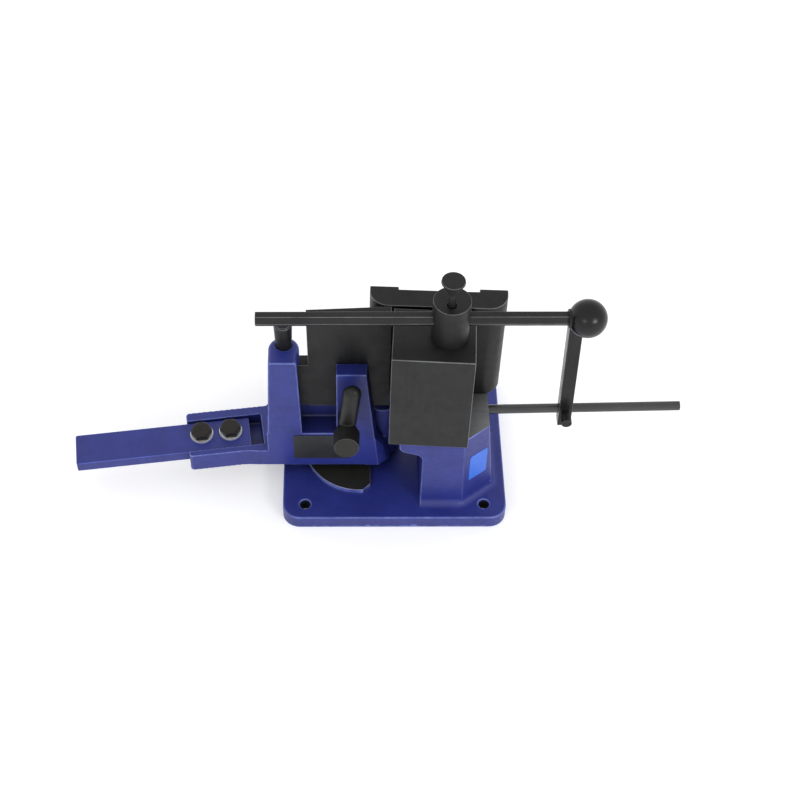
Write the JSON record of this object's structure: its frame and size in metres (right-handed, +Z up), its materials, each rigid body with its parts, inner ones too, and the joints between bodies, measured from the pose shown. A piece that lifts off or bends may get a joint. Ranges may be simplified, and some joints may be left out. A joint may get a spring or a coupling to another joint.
{
  "type": "bench bending machine",
  "caption": "Bench bending machine with a swinging yoke and handle, an eccentric clamp block, a round-edged former, a hinged wing and an end stop.",
  "frame": {"origin": "centre of the four base fixing holes, on the underside of the base plate", "axes": "+X to the right along the work table, +Y from the clamp block to the former, +Z up out of the bench"},
  "size_m": [0.6151, 0.2, 0.3298],
  "materials": {
    "cast_blue": "semi-gloss royal blue paint on a cast surface",
    "bar_blue": "semi-gloss royal blue paint on rolled flat bar",
    "tool_black": "blackened ground steel, satin",
    "fastener_black": "black oxide",
    "bright_steel": "bright turned or zinc plated steel",
    "bearing_bronze": "turned bearing bronze",
    "moulded_black": "fine textured moulded plastic",
    "gloss_black": "polished phenolic",
    "plate_black": "satin black enamel, blank",
    "film_blue": "satin light blue film, blank"
  },
  "bodies": {
    "base": {"base_casting": "cast_blue", "pivot_shaft": "bright_steel", "thrust_washer": "bearing_bronze", "corner_plate": "film_blue", "guide_key": "bright_steel", "key_screws": "fastener_black", "former": "tool_black", "former_dowels": "bright_steel", "rod_screw": "fastener_black"},
    "yoke": {"swing_yoke": "cast_blue", "hub_bushes": "bearing_bronze", "handle_bar": "bar_blue", "handle_bolts": "fastener_black", "handle_washers": "bright_steel", "handle_nuts": "fastener_black", "name_plate": "plate_black"},
    "pin": {"hinge_pin": "tool_black"},
    "wing": {"bending_wing": "tool_black"},
    "clamp": {"clamp_screw": "bright_steel", "clamp_lever": "moulded_black", "clamp_cap": "moulded_black"},
    "block": {"clamp_block": "tool_black"},
    "eccentric": {"eccentric_shaft": "tool_black"},
    "lever": {"lever_bar": "tool_black", "ball_knob": "gloss_black"},
    "thumb": {"thumb_screw": "tool_black"},
    "rod": {"stop_rod": "tool_black"},
    "arm": {"stop_arm": "tool_black"},
    "stop_lock": {"stop_screw": "tool_black"}
  },
  "joints": [
    {"name": "yoke_swing", "type": "hinge", "parent": "base", "child": "yoke", "pos_m": [-0.0136, -0.0026, 0.032], "axis": [0, 0, 1], "range_deg": [-120, 0]},
    {"name": "pin_lift", "type": "slide", "parent": "yoke", "child": "pin", "axis": [0, 0, 1], "range_m": [0, 0.03]},
    {"name": "wing_adjust", "type": "hinge", "parent": "yoke", "child": "wing", "pos_m": [-0.11, -0.0195, 0.147], "axis": [0, 0, 1], "range_deg": [0, 0.9]},
    {"name": "clamp_turn", "type": "hinge", "parent": "yoke", "child": "clamp", "pos_m": [-0.0493, -0.06, 0.1176], "axis": [0, -1, 0], "range_deg": [0, 150]},
    {"name": "eccentric_turn", "type": "hinge", "parent": "base", "child": "eccentric", "pos_m": [0.0459, -0.0569, 0.1214], "axis": [0, 0, 1], "range_deg": [-28, 28]},
    {"name": "block_slide", "type": "slide", "parent": "base", "child": "block", "axis": [0.0628, 0.998, 0], "range_m": [-0.0026, 0.0026]},
    {"name": "lever_slide", "type": "slide", "parent": "eccentric", "child": "lever", "axis": [1, 0, 0], "range_m": [-0.085, 0.13]},
    {"name": "thumb_turn", "type": "hinge", "parent": "eccentric", "child": "thumb", "pos_m": [0.045, -0.0624, 0.3], "axis": [0, 0, 1], "continuous": true},
    {"name": "rod_slide", "type": "slide", "parent": "base", "child": "rod", "axis": [0.9996, 0, 0.0279], "range_m": [-0.012, 0.012]},
    {"name": "arm_tilt", "type": "hinge", "parent": "rod", "child": "arm", "pos_m": [0.17017, -0.0295, 0.10809], "axis": [0.9996, 0, 0.0279], "range_deg": [-100, 100]},
    {"name": "stop_lock_turn", "type": "hinge", "parent": "arm", "child": "stop_lock", "pos_m": [0.17017, -0.0395, 0.10809], "axis": [0, 1, 0], "continuous": true}
  ],
  "couplings": [
    {"joint": "block_slide", "follows": "eccentric_turn", "m_per_rad": -0.0049}
  ]
}
